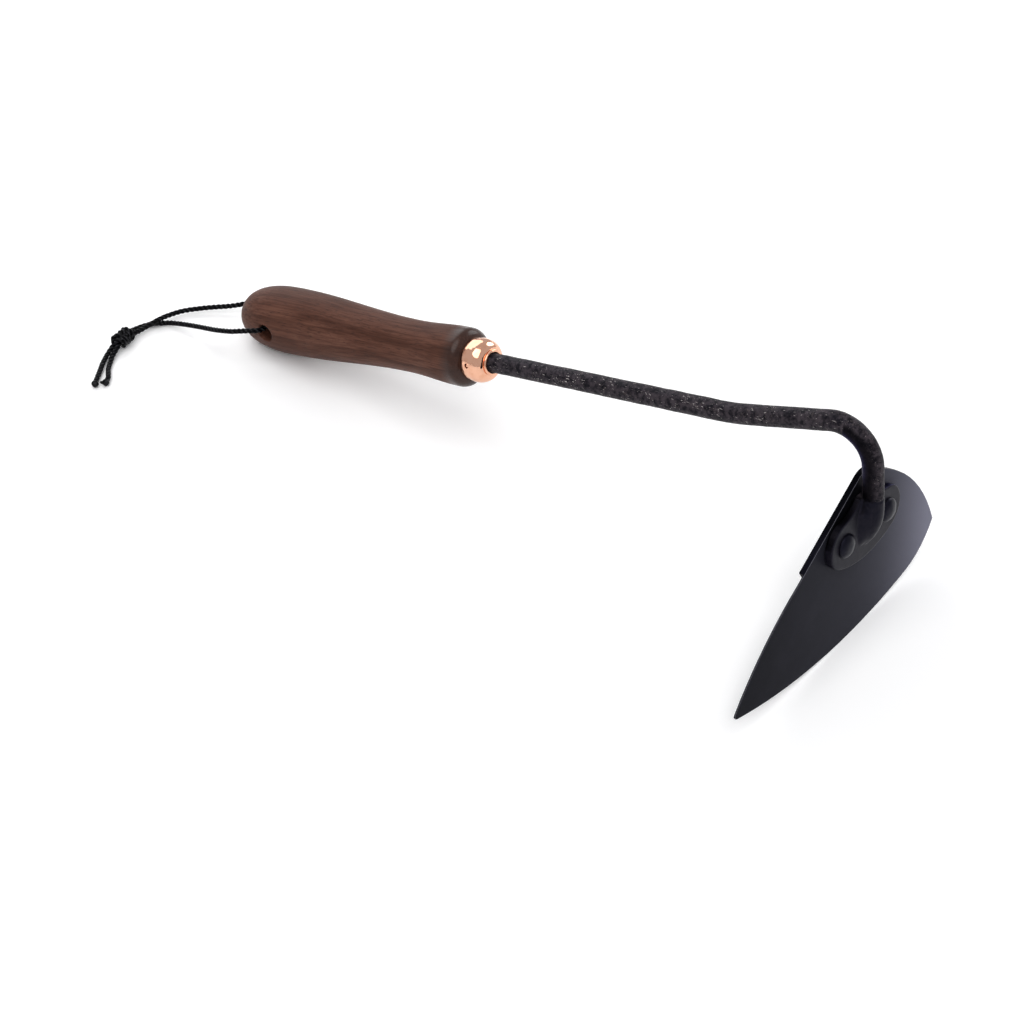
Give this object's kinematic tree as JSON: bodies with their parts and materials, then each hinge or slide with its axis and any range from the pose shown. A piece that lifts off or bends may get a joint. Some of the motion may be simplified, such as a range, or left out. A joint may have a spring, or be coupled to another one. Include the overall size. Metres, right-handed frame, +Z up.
{
  "type": "draw hoe",
  "caption": "One-handed draw hoe: turned walnut handle with cord lanyard, copper ferrule, forged gooseneck shank and a riveted, sideways-pointed blade.",
  "frame": {"origin": "on the ground, under the middle of the tool's box without its lanyard, with the tool lying as it is put down", "axes": "+X along the handle from butt to blade, seen from above; +Y across, away from the blade's point; +Z up"},
  "size_m": [0.4295, 0.1602, 0.1056],
  "materials": {
    "walnut": "oiled turned walnut, satin",
    "copper": "polished copper",
    "black_scale": "rough black forge scale",
    "black_paint": "matte black",
    "black_rivet": "satin black",
    "black_cord": "waxed twisted cord"
  },
  "bodies": {
    "root": {"handle": "walnut", "ferrule": "copper", "ferrule_pin": "copper", "shank": "black_scale", "blade": "black_paint", "rivet_point_side": "black_rivet", "rivet_heel_side": "black_rivet", "lanyard_near_leg": "black_cord", "lanyard_far_leg": "black_cord", "lanyard_knot": "black_cord", "lanyard_tail_long": "black_cord", "lanyard_tail_short": "black_cord"}
  },
  "joints": []
}
